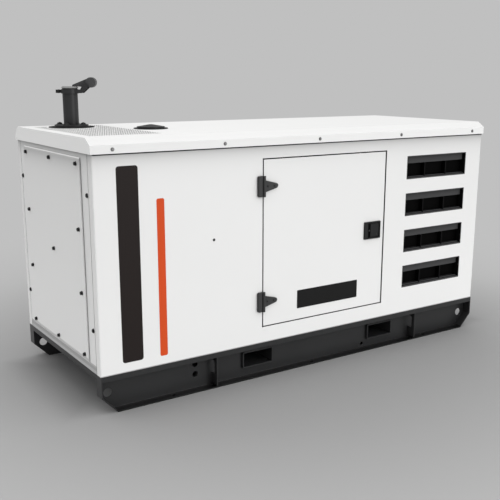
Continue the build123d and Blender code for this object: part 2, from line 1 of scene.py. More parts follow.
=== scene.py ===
import json
import math

import bmesh
import bpy
from mathutils import Matrix, Vector


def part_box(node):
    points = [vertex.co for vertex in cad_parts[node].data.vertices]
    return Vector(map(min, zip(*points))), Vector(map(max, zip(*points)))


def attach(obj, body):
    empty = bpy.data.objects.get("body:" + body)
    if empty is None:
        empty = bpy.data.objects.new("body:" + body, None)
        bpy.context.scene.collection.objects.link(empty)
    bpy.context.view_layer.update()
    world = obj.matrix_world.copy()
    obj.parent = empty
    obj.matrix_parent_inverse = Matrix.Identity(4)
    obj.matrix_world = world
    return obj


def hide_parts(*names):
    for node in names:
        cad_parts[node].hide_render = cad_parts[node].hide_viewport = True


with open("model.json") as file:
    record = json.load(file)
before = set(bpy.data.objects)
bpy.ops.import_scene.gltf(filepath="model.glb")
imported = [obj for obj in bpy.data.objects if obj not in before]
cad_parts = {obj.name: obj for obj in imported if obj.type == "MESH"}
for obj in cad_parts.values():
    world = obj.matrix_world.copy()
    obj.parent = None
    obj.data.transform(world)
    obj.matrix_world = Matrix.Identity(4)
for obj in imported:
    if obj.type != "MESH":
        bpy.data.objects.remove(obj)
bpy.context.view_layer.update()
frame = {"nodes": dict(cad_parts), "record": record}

scene = bpy.context.scene
scene.view_settings.view_transform = "Standard"
nodes = frame["nodes"]
print("frame loaded:", len(nodes), "nodes")


# small helpers for node trees

def addNode(tree, kind, **settings):
    node = tree.nodes.new(kind)
    for key, value in settings.items():
        setattr(node, key, value)
    return node


def setInputs(node, **values):
    for key, value in values.items():
        node.inputs[key.replace("_", " ")].default_value = value
    return node


def mathNode(tree, operation, first, second=None, third=None, clamp=False):
    node = addNode(tree, "ShaderNodeMath", operation=operation, use_clamp=clamp)
    for index, value in enumerate((first, second, third)):
        if value is None:
            continue
        if isinstance(value, (int, float)):
            node.inputs[index].default_value = value
        else:
            tree.links.new(value, node.inputs[index])
    return node.outputs[0]


def smoothRamp(tree, value, low, high):
    # 0 at low and 1 at high, eased at both ends
    ramp = setInputs(addNode(tree, "ShaderNodeMapRange", interpolation_type="SMOOTHSTEP"), From_Min=low, From_Max=high)
    tree.links.new(value, ramp.inputs["Value"])
    return ramp.outputs["Result"]


def grey(level):
    return (level, level, level, 1)


def newShaderGroup(name, inputs, outputs):
    group = bpy.data.node_groups.new(name, "ShaderNodeTree")
    for label, kind, value in inputs:
        socket = group.interface.new_socket(label, in_out="INPUT", socket_type=kind)
        socket.default_value = value
    for label, kind in outputs:
        group.interface.new_socket(label, in_out="OUTPUT", socket_type=kind)
    start = group.nodes.new("NodeGroupInput")
    end = group.nodes.new("NodeGroupOutput")
    return group, start, end


# shader groups that several finishes share

def makeCoatGroup():
    # powder coat: slow tone drift, fine specks and the orange peel height
    group, start, end = newShaderGroup(
        "sprayedCoat",
        [
            ("Color", "NodeSocketColor", (0.8, 0.8, 0.8, 1)),
            ("Drift", "NodeSocketFloat", 0.03),
            ("Roughness", "NodeSocketFloat", 0.45),
            ("Roughness Drift", "NodeSocketFloat", 0.06),
            ("Peel Scale", "NodeSocketFloat", 260.0),
            ("Speck Scale", "NodeSocketFloat", 900.0),
            ("Speck", "NodeSocketFloat", 0.02),
        ],
        [("Color", "NodeSocketColor"), ("Roughness", "NodeSocketFloat"), ("Height", "NodeSocketFloat")],
    )
    link = group.links.new
    coords = addNode(group, "ShaderNodeTexCoord")
    slow = setInputs(addNode(group, "ShaderNodeTexNoise"), Scale=2.3, Detail=3.0, Roughness=0.55)
    peel = setInputs(addNode(group, "ShaderNodeTexNoise"), Detail=2.0, Roughness=0.5)
    speck = setInputs(addNode(group, "ShaderNodeTexNoise"), Detail=1.0)
    for noise in (slow, peel, speck):
        link(coords.outputs["Object"], noise.inputs["Vector"])
    link(start.outputs["Peel Scale"], peel.inputs["Scale"])
    link(start.outputs["Speck Scale"], speck.inputs["Scale"])
    slowSwing = mathNode(group, "SUBTRACT", slow.outputs["Fac"], 0.5)
    speckSwing = mathNode(group, "SUBTRACT", speck.outputs["Fac"], 0.5)
    tone = mathNode(group, "MULTIPLY_ADD", slowSwing, start.outputs["Drift"], 1.0)
    tone = mathNode(group, "MULTIPLY_ADD", speckSwing, start.outputs["Speck"], tone)
    scaled = addNode(group, "ShaderNodeVectorMath", operation="SCALE")
    link(start.outputs["Color"], scaled.inputs[0])
    link(tone, scaled.inputs["Scale"])
    link(scaled.outputs[0], end.inputs["Color"])
    rough = mathNode(group, "MULTIPLY_ADD", slowSwing, start.outputs["Roughness Drift"], start.outputs["Roughness"])
    link(rough, end.inputs["Roughness"])
    link(peel.outputs["Fac"], end.inputs["Height"])
    return group


def makeEdgeGroup():
    # how sharply the surface turns here, and a rounded normal for pressed and moulded edges
    group, start, end = newShaderGroup(
        "softEdge",
        [("Radius", "NodeSocketFloat", 0.0015), ("Sharpness", "NodeSocketFloat", 6.0)],
        [("Edge", "NodeSocketFloat"), ("Normal", "NodeSocketVector")],
    )
    link = group.links.new
    geometry = addNode(group, "ShaderNodeNewGeometry")
    bevel = addNode(group, "ShaderNodeBevel", samples=6)
    link(start.outputs["Radius"], bevel.inputs["Radius"])
    dot = addNode(group, "ShaderNodeVectorMath", operation="DOT_PRODUCT")
    link(bevel.outputs[0], dot.inputs[0])
    link(geometry.outputs["True Normal"], dot.inputs[1])
    turned = mathNode(group, "SUBTRACT", 1.0, dot.outputs["Value"])
    link(mathNode(group, "MULTIPLY", turned, start.outputs["Sharpness"], clamp=True), end.inputs["Edge"])
    link(bevel.outputs[0], end.inputs["Normal"])
    return group


def makeGrainGroup():
    # moulded grain: rounded pebbles for the height, and a slow drift of tone and roughness
    group, start, end = newShaderGroup(
        "mouldGrain",
        [("Scale", "NodeSocketFloat", 700.0), ("Color", "NodeSocketColor", (0.05, 0.05, 0.05, 1)),
         ("Contrast", "NodeSocketFloat", 0.2), ("Roughness", "NodeSocketFloat", 0.55)],
        [("Color", "NodeSocketColor"), ("Roughness", "NodeSocketFloat"), ("Height", "NodeSocketFloat")],
    )
    link = group.links.new
    coords = addNode(group, "ShaderNodeTexCoord")
    pebble = setInputs(addNode(group, "ShaderNodeTexVoronoi", feature="SMOOTH_F1"), Smoothness=0.6)
    slow = setInputs(addNode(group, "ShaderNodeTexNoise"), Scale=14.0, Detail=4.0)
    for texture in (pebble, slow):
        link(coords.outputs["Object"], texture.inputs["Vector"])
    link(start.outputs["Scale"], pebble.inputs["Scale"])
    roughSwing = 0.15
    swing = mathNode(group, "SUBTRACT", slow.outputs["Fac"], 0.5)
    tone = mathNode(group, "MULTIPLY_ADD", swing, start.outputs["Contrast"], 1.0)
    scaled = addNode(group, "ShaderNodeVectorMath", operation="SCALE")
    link(start.outputs["Color"], scaled.inputs[0])
    link(tone, scaled.inputs["Scale"])
    link(scaled.outputs[0], end.inputs["Color"])
    link(mathNode(group, "MULTIPLY_ADD", swing, roughSwing, start.outputs["Roughness"]), end.inputs["Roughness"])
    link(mathNode(group, "SUBTRACT", 1.0, pebble.outputs["Distance"]), end.inputs["Height"])
    return group


def makeDustGroup():
    # a thin film of dust that settles on faces turned up
    group, start, end = newShaderGroup(
        "settledDust",
        [("Amount", "NodeSocketFloat", 0.2), ("Scale", "NodeSocketFloat", 18.0)],
        [("Mask", "NodeSocketFloat")],
    )
    link = group.links.new
    coords = addNode(group, "ShaderNodeTexCoord")
    noise = setInputs(addNode(group, "ShaderNodeTexNoise"), Detail=5.0, Roughness=0.6)
    link(coords.outputs["Object"], noise.inputs["Vector"])
    link(start.outputs["Scale"], noise.inputs["Scale"])
    geometry = addNode(group, "ShaderNodeNewGeometry")
    split = addNode(group, "ShaderNodeSeparateXYZ")
    link(geometry.outputs["Normal"], split.inputs[0])
    up = mathNode(group, "MULTIPLY", split.outputs["Z"], 1.0, clamp=True)
    film = mathNode(group, "MULTIPLY", up, noise.outputs["Fac"])
    link(mathNode(group, "MULTIPLY", film, start.outputs["Amount"], clamp=True), end.inputs["Mask"])
    return group


def makeCreviceGroup():
    # painted shade from how open the surface is: 1 in the clear, a soft fall beside steps and a deep one inside seams
    group, start, end = newShaderGroup(
        "creviceShade",
        [("Reach", "NodeSocketFloat", 0.08), ("Limit", "NodeSocketFloat", 0.6), ("Depth", "NodeSocketFloat", 1.5),
         ("Soft", "NodeSocketFloat", 0.6), ("Floor", "NodeSocketFloat", 0.1)],
        [("Shade", "NodeSocketFloat")],
    )
    link = group.links.new
    clear = addNode(group, "ShaderNodeAmbientOcclusion", samples=12)
    link(start.outputs["Reach"], clear.inputs["Distance"])
    seam = mathNode(group, "DIVIDE", clear.outputs["AO"], start.outputs["Limit"], clamp=True)
    deep = mathNode(group, "POWER", seam, start.outputs["Depth"])
    soft = mathNode(group, "POWER", clear.outputs["AO"], start.outputs["Soft"])
    shade = mathNode(group, "MULTIPLY", deep, soft)
    link(mathNode(group, "MAXIMUM", shade, start.outputs["Floor"]), end.inputs["Shade"])
    return group


def makeEaveGroup():
    # painted shade on a wall below the roof's eave, fading with distance below it
    group, start, end = newShaderGroup(
        "eaveShade",
        [("Eave", "NodeSocketFloat", 1.09), ("Reach", "NodeSocketFloat", 0.036), ("Strength", "NodeSocketFloat", 0.5)],
        [("Shade", "NodeSocketFloat")],
    )
    link = group.links.new
    coords = addNode(group, "ShaderNodeTexCoord")
    split = addNode(group, "ShaderNodeSeparateXYZ")
    link(coords.outputs["Object"], split.inputs[0])
    below = mathNode(group, "SUBTRACT", start.outputs["Eave"], split.outputs["Z"])
    under = mathNode(group, "GREATER_THAN", below, 0.0)
    fall = mathNode(group, "EXPONENT", mathNode(group, "DIVIDE", mathNode(group, "MULTIPLY", below, -1.0),
                                                start.outputs["Reach"]))
    amount = mathNode(group, "MULTIPLY", mathNode(group, "MULTIPLY", under, fall), start.outputs["Strength"])
    link(mathNode(group, "SUBTRACT", 1.0, amount, clamp=True), end.inputs["Shade"])
    return group


def makeZoneGroup():
    # 1 inside an upright box given by its middle and half size, and inside its mirror image at the rear
    group, start, end = newShaderGroup(
        "boxZone",
        [("Middle", "NodeSocketVector", (0, 0, 0)), ("Half Size", "NodeSocketVector", (1, 1, 1))],
        [("Mask", "NodeSocketFloat")],
    )
    link = group.links.new
    coords = addNode(group, "ShaderNodeTexCoord")
    place = addNode(group, "ShaderNodeSeparateXYZ")
    link(coords.outputs["Object"], place.inputs[0])
    folded = addNode(group, "ShaderNodeCombineXYZ")
    link(place.outputs["X"], folded.inputs["X"])
    link(mathNode(group, "ABSOLUTE", place.outputs["Y"]), folded.inputs["Y"])
    link(place.outputs["Z"], folded.inputs["Z"])
    away = addNode(group, "ShaderNodeVectorMath", operation="SUBTRACT")
    link(folded.outputs[0], away.inputs[0])
    link(start.outputs["Middle"], away.inputs[1])
    size = addNode(group, "ShaderNodeVectorMath", operation="ABSOLUTE")
    link(away.outputs[0], size.inputs[0])
    room = addNode(group, "ShaderNodeVectorMath", operation="SUBTRACT")
    link(start.outputs["Half Size"], room.inputs[0])
    link(size.outputs[0], room.inputs[1])
    split = addNode(group, "ShaderNodeSeparateXYZ")
    link(room.outputs[0], split.inputs[0])
    least = mathNode(group, "MINIMUM", split.outputs["X"], split.outputs["Y"])
    least = mathNode(group, "MINIMUM", least, split.outputs["Z"])
    link(mathNode(group, "GREATER_THAN", least, 0.0), end.inputs["Mask"])
    return group


coatGroup = makeCoatGroup()
edgeGroup = makeEdgeGroup()
grainGroup = makeGrainGroup()
dustGroup = makeDustGroup()
creviceGroup = makeCreviceGroup()
eaveGroup = makeEaveGroup()
zoneGroup = makeZoneGroup()
print("shader groups ready")


# finishes

def startFinish(name):
    material = bpy.data.materials.new(name)
    material.use_nodes = True
    tree = material.node_tree
    tree.nodes.clear()
    output = addNode(tree, "ShaderNodeOutputMaterial")
    shader = addNode(tree, "ShaderNodeBsdfPrincipled")
    tree.links.new(shader.outputs[0], output.inputs["Surface"])
    return material, tree, shader


def useGroup(tree, group, **values):
    node = addNode(tree, "ShaderNodeGroup", node_tree=group)
    return setInputs(node, **values)


def mixColours(tree, mask, first, second):
    mix = addNode(tree, "ShaderNodeMix", data_type="RGBA")
    tree.links.new(mask, mix.inputs["Factor"])
    for value, socket in zip((first, second), [s for s in mix.inputs if s.type == "RGBA"]):
        if isinstance(value, tuple):
            socket.default_value = value
        else:
            tree.links.new(value, socket)
    return [s for s in mix.outputs if s.type == "RGBA"][0]


def shadeColour(tree, colour, look):
    # multiplies painted shade into a colour: into its crevices, and below the eave where the look asks for it
    shade = useGroup(tree, creviceGroup, Reach=look["reach"], Limit=look["limit"], Depth=look["depth"],
                     Soft=look["soft"], Floor=look["darkest"]).outputs["Shade"]
    if "eave" in look:
        eave = useGroup(tree, eaveGroup, Eave=look["eaveLevel"], Reach=look["eaveReach"], Strength=look["eave"])
        shade = mathNode(tree, "MULTIPLY", shade, eave.outputs["Shade"])
    shaded = addNode(tree, "ShaderNodeVectorMath", operation="SCALE")
    tree.links.new(colour, shaded.inputs[0])
    tree.links.new(shade, shaded.inputs["Scale"])
    return shaded.outputs[0]


def addBump(tree, shader, height, strength, distance, normal=None):
    bump = setInputs(addNode(tree, "ShaderNodeBump"), Strength=strength, Distance=distance)
    tree.links.new(height, bump.inputs["Height"])
    if normal is not None:
        tree.links.new(normal, bump.inputs["Normal"])
    tree.links.new(bump.outputs[0], shader.inputs["Normal"])


def layeredFinish(name, look, group, settings, relief, reliefDepth, dustColour):
    # a textured skin, worn at its edges, dusted, with painted shade and painted light in its zones and painted shade
    # in its crevices
    material, tree, shader = startFinish(name)
    skin = useGroup(tree, group, Color=(*look["colour"], 1), Roughness=look["roughness"], **settings)
    edge = useGroup(tree, edgeGroup, Radius=look["edgeRadius"])
    dust = useGroup(tree, dustGroup, Amount=look["dust"])
    colour = mixColours(tree, mathNode(tree, "MULTIPLY", edge.outputs["Edge"], look["edgeWear"]),
                        skin.outputs["Color"], (*look["edgeColour"], 1))
    colour = mixColours(tree, dust.outputs["Mask"], colour, (*dustColour, 1))
    for paintedTone in look.get("paintedTones", ()):
        mask = useGroup(tree, zoneGroup, Middle=paintedTone["middle"], Half_Size=paintedTone["half"])
        colour = mixColours(tree, mask.outputs["Mask"], colour, (*paintedTone["colour"], 1))
    tree.links.new(shadeColour(tree, colour, look), shader.inputs["Base Color"])
    tree.links.new(skin.outputs["Roughness"], shader.inputs["Roughness"])
    setInputs(shader, Specular_IOR_Level=look["gloss"])
    addBump(tree, shader, skin.outputs["Height"], relief, reliefDepth, edge.outputs["Normal"])
    return material


def sprayedFinish(name, look):
    settings = {"Drift": look["drift"], "Roughness_Drift": look["roughDrift"], "Peel_Scale": look["peelScale"],
                "Speck": look["speck"]}
    return layeredFinish(name, look, coatGroup, settings, look["peel"], look["peelDepth"], look["dustColour"])


plasticDust = (0.3, 0.29, 0.28)


def mouldedFinish(name, look):
    settings = {"Scale": look["grainScale"], "Contrast": look["contrast"]}
    return layeredFinish(name, look, grainGroup, settings, look["grain"], look["grainDepth"], plasticDust)


canopyLook = {
    "colour": (0.79, 0.79, 0.785), "drift": 0.025, "roughness": 0.42, "roughDrift": 0.08,
    "peelScale": 320.0, "peel": 0.06, "peelDepth": 0.0006, "speck": 0.012,
    "edgeRadius": 0.0016, "edgeWear": 0.0, "edgeColour": (0.7, 0.7, 0.7),
    "dust": 0.02, "dustColour": (0.6, 0.58, 0.55), "gloss": 0.4,
    # reach, limit, depth, soft and darkest set the painted crevice shade; eave, eaveReach and eaveLevel set the
    # painted shade below the eave
    "reach": 0.05, "limit": 0.55, "depth": 1.4, "soft": 0.4, "darkest": 0.42,
    "eave": 0.46, "eaveReach": 0.036, "eaveLevel": 1.09,
    # painted shade in the upright gaps beside the door, and along the panels' lower edge above the base's lip
    "paintedTones": [{"middle": (x, 0.4255, 0.639), "half": (half, 0.0250, 0.394), "colour": (0.09, 0.09, 0.09)}
              for x, half in ((-0.3136, 0.0032), (0.4282, 0.0046))]
    + [{"middle": (0.0, 0.4505, 0.1710), "half": (1.13, 0.0020, 0.0028), "colour": (0.45, 0.45, 0.447)}],
}
# the roof takes the full sky, so its coat is painted duller than the walls' (painted shade); the eave's upright faces
# are painted brighter (painted light)
roofLook = dict(canopyLook, colour=(0.665, 0.665, 0.661), gloss=0.0, paintedTones=[
    {"middle": (0.0, 0.4555, 1.108), "half": (1.14, 0.0014, 0.0185), "colour": (0.83, 0.83, 0.825)}] + [
    {"middle": (side * 1.1305, 0.0, 1.1215), "half": (0.0010, 0.46, 0.0320), "colour": (0.85, 0.85, 0.845)}
    for side in (1, -1)])
# painted shade on the end frame's strip below its cover, most so halfway up, and on the cover's lower bend
frameLook = dict(canopyLook, limit=0.4, soft=0.15, paintedTones=[
    {"middle": (side * 1.125, 0.0, z), "half": (0.002, 0.46, half), "colour": colour}
    for z, half, colour in ((0.1885, 0.0185, (0.47, 0.47, 0.467)), (0.1918, 0.0072, (0.36, 0.36, 0.358)))
    for side in (-1, 1)])
# the covers take the painted shade below the eave from just under their top bend, and painted shade on their lower
# bend
coverLook = dict(canopyLook, limit=0.4, soft=0.15, eaveReach=0.0376, eaveLevel=1.0655, paintedTones=[
    {"middle": (side * 1.1325, 0.0, 0.2135), "half": (0.002, 0.36, 0.0090), "colour": (0.60, 0.60, 0.597)}
    for side in (-1, 1)])
baseLook = {
    "colour": (0.0205, 0.0208, 0.0214), "drift": 0.25, "roughness": 0.32, "roughDrift": 0.12,
    "peelScale": 420.0, "peel": 0.14, "peelDepth": 0.0008, "speck": 0.25,
    "edgeRadius": 0.0022, "edgeWear": 0.15, "edgeColour": (0.05, 0.05, 0.051),
    "dust": 0.05, "dustColour": (0.10, 0.097, 0.094), "gloss": 0.4,
    "reach": 0.06, "limit": 0.4, "depth": 1.0, "soft": 0.5, "darkest": 0.15,
    # painted light on the beams' end faces, and painted shade on the foot of the lower flanges
    "paintedTones": [{"middle": (side * 1.125, 0.4255, 0.085), "half": (0.003, 0.030, 0.0845),
               "colour": (0.029, 0.0293, 0.0300)} for side in (-1, 1)]
    + [{"middle": (0.0, 0.4370, 0.004), "half": (1.12, 0.0200, 0.0060), "colour": (0.0065, 0.0066, 0.0068)}],
}
exhaustLook = {
    "colour": (0.029, 0.0292, 0.0301), "drift": 0.3, "roughness": 0.42, "roughDrift": 0.2,
    "peelScale": 520.0, "peel": 0.2, "peelDepth": 0.0006, "speck": 0.3,
    "edgeRadius": 0.0012, "edgeWear": 0.3, "edgeColour": (0.10, 0.098, 0.096),
    "dust": 0.06, "dustColour": (0.16, 0.155, 0.15), "gloss": 0.2,
    "reach": 0.04, "limit": 0.4, "depth": 1.0, "soft": 0.6, "darkest": 0.12,
}
# the lid's disc is painted a lighter grey than its arm, as painted light on the disc
lidLook = dict(exhaustLook, colour=(0.064, 0.0645, 0.0658),
               paintedTones=[{"middle": (-0.9275, 0.250, 1.3358), "half": (0.0405, 0.0405, 0.0043),
                       "colour": (0.21, 0.21, 0.208)}])
# painted shade: behind each hood strip the bays and the end walls are painted dark, and the ribs' fronts a little less
# so
louvreRows = {"x": 0.7919, "first": 0.3644, "step": 0.19097, "count": 4, "half": 0.2140,
              "bands": (((0.4365, 0.450), (-0.0525, 0.0190), (0.010, 0.010, 0.0103)),
                        ((0.405, 0.4365), (-0.0480, 0.0190), (0.002, 0.002, 0.002))),
              "end": 0.21325, "endY": 0.4285, "endZ": 0.651, "endHalf": (0.0008, 0.0210, 0.36),
              "endColour": (0.004, 0.004, 0.004)}


def louvreBayShade(spec):
    paintedTones = []
    for row in range(spec["count"]):
        level = spec["first"] + spec["step"] * row
        for (near, far), (low, high), colour in spec["bands"]:
            paintedTones.append({"middle": (spec["x"], (near + far) / 2, level + (low + high) / 2),
                          "half": (spec["half"], (far - near) / 2, (high - low) / 2), "colour": colour})
    for side in (-1, 1):
        paintedTones.append({"middle": (spec["x"] + side * spec["end"], spec["endY"], spec["endZ"]),
                      "half": spec["endHalf"], "colour": spec["endColour"]})
    return paintedTones


louvreLook = {
    "colour": (0.066, 0.0664, 0.0678), "grainScale": 900.0, "contrast": 0.15, "roughness": 0.6,
    "grain": 0.15, "grainDepth": 0.0004, "edgeRadius": 0.0010, "edgeWear": 0.05,
    "edgeColour": (0.08, 0.08, 0.082), "dust": 0.02, "gloss": 0.03,
    "reach": 0.03, "limit": 0.4, "depth": 1.0, "soft": 0.3, "darkest": 0.1, "paintedTones": louvreBayShade(louvreRows),
}
hingeLook = {
    "colour": (0.034, 0.0344, 0.0354), "grainScale": 800.0, "contrast": 0.25, "roughness": 0.5,
    "grain": 0.2, "grainDepth": 0.0004, "edgeRadius": 0.0016, "edgeWear": 0.2,
    "edgeColour": (0.08, 0.08, 0.082), "dust": 0.03, "gloss": 0.3,
    "reach": 0.02, "limit": 0.4, "depth": 1.0, "soft": 0.5, "darkest": 0.1,
}
# the finger slot beside the paddle is painted dark: painted shade
latchLook = dict(hingeLook, colour=(0.024, 0.0242, 0.0248), edgeRadius=0.0008, edgeWear=0.12,
                 edgeColour=(0.035, 0.035, 0.036), gloss=0.06,
                 paintedTones=[{"middle": (0.326, 0.4520, 0.639), "half": (0.0095, 0.0035, 0.0390),
                         "colour": (0.002, 0.002, 0.002)}])
capLook = dict(hingeLook, colour=(0.013, 0.0131, 0.0135), roughness=0.42, edgeRadius=0.002, edgeWear=0.1)
sealLook = {
    "colour": (0.010, 0.010, 0.0103), "grainScale": 420.0, "contrast": 0.3, "roughness": 0.82,
    "grain": 0.3, "grainDepth": 0.0005, "edgeRadius": 0.001, "edgeWear": 0.1,
    "edgeColour": (0.03, 0.03, 0.03), "dust": 0.04, "gloss": 0.2,
    "reach": 0.04, "limit": 0.4, "depth": 1.0, "soft": 0.5, "darkest": 0.1,
}
# the end covers' strips are pale grey foam rubber
coverSealLook = dict(sealLook, colour=(0.66, 0.66, 0.655), edgeColour=(0.6, 0.6, 0.6), limit=0.15, soft=0.1)
foamLook = {
    "colour": (0.042, 0.042, 0.0435), "grainScale": 190.0, "contrast": 0.7, "roughness": 0.92,
    "grain": 1.0, "grainDepth": 0.004, "edgeRadius": 0.003, "edgeWear": 0.1,
    "edgeColour": (0.06, 0.06, 0.06), "dust": 0.05, "gloss": 0.1,
    "reach": 0.1, "limit": 0.5, "depth": 1.0, "soft": 0.5, "darkest": 0.1,
}
boltLook = {
    "colour": (0.010, 0.010, 0.0105), "grainScale": 1500.0, "contrast": 0.4, "roughness": 0.42,
    "grain": 0.1, "grainDepth": 0.0002, "edgeRadius": 0.0008, "edgeWear": 0.2,
    "edgeColour": (0.06, 0.06, 0.06), "dust": 0.02, "gloss": 0.3,
    "reach": 0.02, "limit": 0.4, "depth": 1.0, "soft": 0.5, "darkest": 0.1,
}

finish = {
    "canopy_paint": sprayedFinish("canopyWhite", canopyLook),
    "base_paint": sprayedFinish("skidGrey", baseLook),
    "exhaust_steel": sprayedFinish("stackGrey", exhaustLook),
    "louvre_plastic": mouldedFinish("louvrePlastic", louvreLook),
    "hinge_black": mouldedFinish("hingePlastic", hingeLook),
    "latch_black": mouldedFinish("latchPlastic", latchLook),
    "cap_plastic": mouldedFinish("capPlastic", capLook),
    "gasket_rubber": mouldedFinish("sealRubber", sealLook),
    "acoustic_foam": mouldedFinish("liningFoam", foamLook),
}
boltFinish = mouldedFinish("blackBolt", boltLook)
# the punched holes' walls are painted a grey darker than the sheet: painted shade inside the holes
holeFinish = mouldedFinish("holeEdge", dict(boltLook, colour=(0.37, 0.37, 0.37), edgeWear=0.0, gloss=0.1))
roofFinish = sprayedFinish("roofWhite", roofLook)
# nodes whose finish differs from the rest of their slot
ownFinish = {"rain_cap_lid": sprayedFinish("lidGrey", lidLook), "roof": roofFinish, "roof_grille": roofFinish}
for part, partFinish in (("frame", sprayedFinish("frameWhite", frameLook)),
                         ("cover", sprayedFinish("coverWhite", coverLook)),
                         ("seal", mouldedFinish("coverSeal", coverSealLook))):
    for label in ("left", "right"):
        ownFinish[f"{label}_end_{part}"] = partFinish


def platedFinish(name, look):
    # zinc plated steel, with a patchy sheen
    material, tree, shader = startFinish(name)
    setInputs(shader, Metallic=1.0)
    grain = useGroup(tree, grainGroup, Color=(*look["colour"], 1), Scale=look["grainScale"],
                     Contrast=look["contrast"], Roughness=look["roughness"])
    edge = useGroup(tree, edgeGroup, Radius=look["edgeRadius"])
    tree.links.new(grain.outputs["Color"], shader.inputs["Base Color"])
    tree.links.new(grain.outputs["Roughness"], shader.inputs["Roughness"])
    addBump(tree, shader, grain.outputs["Height"], look["grain"], look["grainDepth"], edge.outputs["Normal"])
    return material


filmLook = {"roughness": 0.5, "roughDrift": 0.08, "drift": 0.06, "speck": 0.03, "gloss": 0.1,
            "peelScale": 180.0, "peel": 0.05, "peelDepth": 0.0004}


def filmFinish(name, colour, look=filmLook):
    # cast film of an even colour
    material, tree, shader = startFinish(name)
    coat = useGroup(tree, coatGroup, Color=(*colour, 1), Drift=look["drift"], Roughness=look["roughness"],
                    Roughness_Drift=look["roughDrift"], Peel_Scale=look["peelScale"], Speck=look["speck"])
    tree.links.new(coat.outputs["Color"], shader.inputs["Base Color"])
    tree.links.new(coat.outputs["Roughness"], shader.inputs["Roughness"])
    setInputs(shader, Specular_IOR_Level=look["gloss"])
    addBump(tree, shader, coat.outputs["Height"], look["peel"], look["peelDepth"])
    return material


zincFinish = platedFinish("zincPlate", {
    "colour": (0.20, 0.20, 0.198), "grainScale": 900.0, "contrast": 0.3, "roughness": 0.42, "edgeRadius": 0.0006,
    "grain": 0.05, "grainDepth": 0.0002,
})
darkFilm = filmFinish("darkFilm", (0.0185, 0.0140, 0.0130))
warmFilm = filmFinish("orangeFilm", (0.62, 0.074, 0.017))
plateFilm = filmFinish("plateFilm", (0.0110, 0.0110, 0.0110))

slotOf = {row["node"]: row["material_slot"] for row in frame["record"]["subparts"]}
for name, node in nodes.items():
    for slot in node.material_slots:
        slot.material = ownFinish.get(name, finish[slotOf[name]])
print("finishes set on", len(nodes), "nodes")


# geometry node trees

def newGeometryTree(name, inputs):
    tree = bpy.data.node_groups.new(name, "GeometryNodeTree")
    tree.interface.new_socket("Geometry", in_out="INPUT", socket_type="NodeSocketGeometry")
    for label, kind in inputs:
        tree.interface.new_socket(label, in_out="INPUT", socket_type=kind)
    tree.interface.new_socket("Geometry", in_out="OUTPUT", socket_type="NodeSocketGeometry")
    return tree, tree.nodes.new("NodeGroupInput"), tree.nodes.new("NodeGroupOutput")


def addPiece(name, mesh, body, replaced=()):
    piece = bpy.data.objects.new(name, mesh)
    scene.collection.objects.link(piece)
    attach(piece, body)
    if replaced:
        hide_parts(*replaced)
    return piece


def bakeTree(name, tree, values, mesh, body, replaced=()):
    # runs the tree on the mesh and keeps the result as a plain mesh on its body
    carrier = bpy.data.objects.new(name + "Carrier", mesh)
    scene.collection.objects.link(carrier)
    modifier = carrier.modifiers.new("tree", "NODES")
    modifier.node_group = tree
    sockets = {item.name: item.identifier for item in tree.interface.items_tree if item.in_out == "INPUT"}
    for label, value in values.items():
        modifier[sockets[label]] = value
    depsgraph = bpy.context.evaluated_depsgraph_get()
    baked = bpy.data.meshes.new_from_object(carrier.evaluated_get(depsgraph), depsgraph=depsgraph)
    carrier.modifiers.remove(modifier)
    bpy.data.objects.remove(carrier)
    return addPiece(name, baked, body, replaced)


def makeFastenerTree():
    # a washer, a head and its crown on every point, each turned to the point's own facing
    tree, start, end = newGeometryTree("fasteners", [
        ("Washer Radius", "NodeSocketFloat"), ("Washer Height", "NodeSocketFloat"),
        ("Head Radius", "NodeSocketFloat"), ("Head Height", "NodeSocketFloat"),
        ("Crown Radius", "NodeSocketFloat"), ("Crown Height", "NodeSocketFloat"),
        ("Head Sides", "NodeSocketInt"), ("Material", "NodeSocketMaterial"),
    ])
    link = tree.links.new

    def ring(sides, low, high, depth, lift):
        cone = addNode(tree, "GeometryNodeMeshCone")
        if isinstance(sides, int):
            cone.inputs["Vertices"].default_value = sides
        else:
            link(sides, cone.inputs["Vertices"])
        link(low, cone.inputs["Radius Bottom"])
        link(high, cone.inputs["Radius Top"])
        link(depth, cone.inputs["Depth"])
        place = addNode(tree, "GeometryNodeTransform")
        link(cone.outputs["Mesh"], place.inputs["Geometry"])
        if lift is not None:
            offset = addNode(tree, "ShaderNodeCombineXYZ")
            link(lift, offset.inputs["Z"])
            link(offset.outputs[0], place.inputs["Translation"])
        return place.outputs[0]

    get = start.outputs
    washerSides, rimShare = 24, 0.93
    rim = mathNode(tree, "MULTIPLY", get["Washer Radius"], rimShare)
    crownFoot = mathNode(tree, "ADD", get["Washer Height"], get["Head Height"])
    join = addNode(tree, "GeometryNodeJoinGeometry")
    link(ring(washerSides, get["Washer Radius"], rim, get["Washer Height"], None), join.inputs[0])
    link(ring(get["Head Sides"], get["Head Radius"], get["Head Radius"], get["Head Height"], get["Washer Height"]),
         join.inputs[0])
    link(ring(get["Head Sides"], get["Head Radius"], get["Crown Radius"], get["Crown Height"], crownFoot),
         join.inputs[0])
    facing = setInputs(addNode(tree, "GeometryNodeInputNamedAttribute", data_type="FLOAT_VECTOR"), Name="facing")
    turn = addNode(tree, "FunctionNodeAlignRotationToVector", axis="Z")
    link(facing.outputs["Attribute"], turn.inputs["Vector"])
    onPoints = addNode(tree, "GeometryNodeInstanceOnPoints")
    link(get["Geometry"], onPoints.inputs["Points"])
    link(join.outputs[0], onPoints.inputs["Instance"])
    link(turn.outputs[0], onPoints.inputs["Rotation"])
    real = addNode(tree, "GeometryNodeRealizeInstances")
    link(onPoints.outputs[0], real.inputs[0])
    paint = addNode(tree, "GeometryNodeSetMaterial")
    link(real.outputs[0], paint.inputs["Geometry"])
    link(get["Material"], paint.inputs["Material"])
    link(paint.outputs[0], end.inputs[0])
    return tree


fastenerTree = makeFastenerTree()


